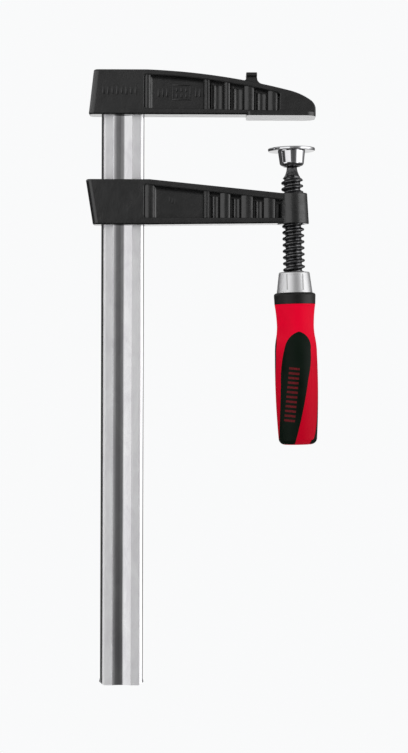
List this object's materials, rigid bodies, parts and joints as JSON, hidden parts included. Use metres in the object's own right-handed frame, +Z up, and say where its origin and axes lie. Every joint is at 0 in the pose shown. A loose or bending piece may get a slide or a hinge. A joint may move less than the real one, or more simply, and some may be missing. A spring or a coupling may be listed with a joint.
{
  "type": "screw clamp",
  "caption": "Bar clamp with a grooved rail, a jaw fixed at its top, a sliding arm, and a handled screw whose swivel plate presses towards the jaw.",
  "frame": {"origin": "the point of the fixed jaw's pad face that the screw's axis meets", "axes": "+Z up the rail towards its jaw, +X from the rail towards the screw, +Y across the rail's thickness; the screw's axis leans 1.46 degrees from +Z towards the rail"},
  "size_m": [0.1875, 0.038, 0.4949],
  "materials": {
    "rail_steel": "bright drawn steel",
    "black_casting": "satin black enamel on cast iron",
    "dark_screw_steel": "burnished black oxide",
    "satin_ferrule": "satin",
    "black_grip": "satin soft grip",
    "red_handle": "semi-gloss",
    "seat_liner": "moulded",
    "spring_wire": "drawn wire",
    "plate_chrome": "polished"
  },
  "bodies": {
    "rail_and_jaw": {"rail": "rail_steel", "fixed_jaw": "black_casting"},
    "arm": {"sliding_arm": "black_casting"},
    "screw_travel": {"grip_collar": "black_grip"},
    "screw": {"spindle": "dark_screw_steel", "ferrule": "satin_ferrule", "handle_core": "red_handle", "grip_inlay_front": "black_grip", "grip_inlay_right": "black_grip", "grip_inlay_left": "black_grip"},
    "plate_seat": {"ball_seat": "seat_liner"},
    "plate_ring": {"spring_ring": "spring_wire"},
    "plate": {"pressure_disc": "plate_chrome", "socket_cup": "plate_chrome"}
  },
  "joints": [
    {"name": "arm_slide", "type": "slide", "parent": "rail_and_jaw", "child": "arm", "axis": [0, 0, -1], "range_m": [-0.0237, 0.366]},
    {"name": "spindle_feed", "type": "slide", "parent": "arm", "child": "screw_travel", "axis": [-0.0255, 0, 0.9997], "range_m": [-0.018, 0.0237]},
    {"name": "spindle_turn", "type": "hinge", "parent": "screw_travel", "child": "screw", "pos_m": [0, 0, 0], "axis": [-0.0255, 0, 0.9997], "range_deg": [-1290, 1700]},
    {"name": "plate_release", "type": "slide", "parent": "screw_travel", "child": "plate_seat", "axis": [-0.0255, 0, 0.9997], "range_m": [0, 0.0115], "deforming": ["spring_ring"]},
    {"name": "plate_tilt_x", "type": "hinge", "parent": "plate_seat", "child": "plate_ring", "pos_m": [0.00087, 0, -0.03429], "axis": [0.9997, 0, 0.0255], "range_deg": [-12, 12]},
    {"name": "plate_tilt_y", "type": "hinge", "parent": "plate_ring", "child": "plate", "pos_m": [0.00087, 0, -0.03429], "axis": [0, 1, 0], "range_deg": [-12, 12]}
  ],
  "couplings": [
    {"joint": "spindle_feed", "follows": "spindle_turn", "m_per_rad": 0.00079577}
  ]
}
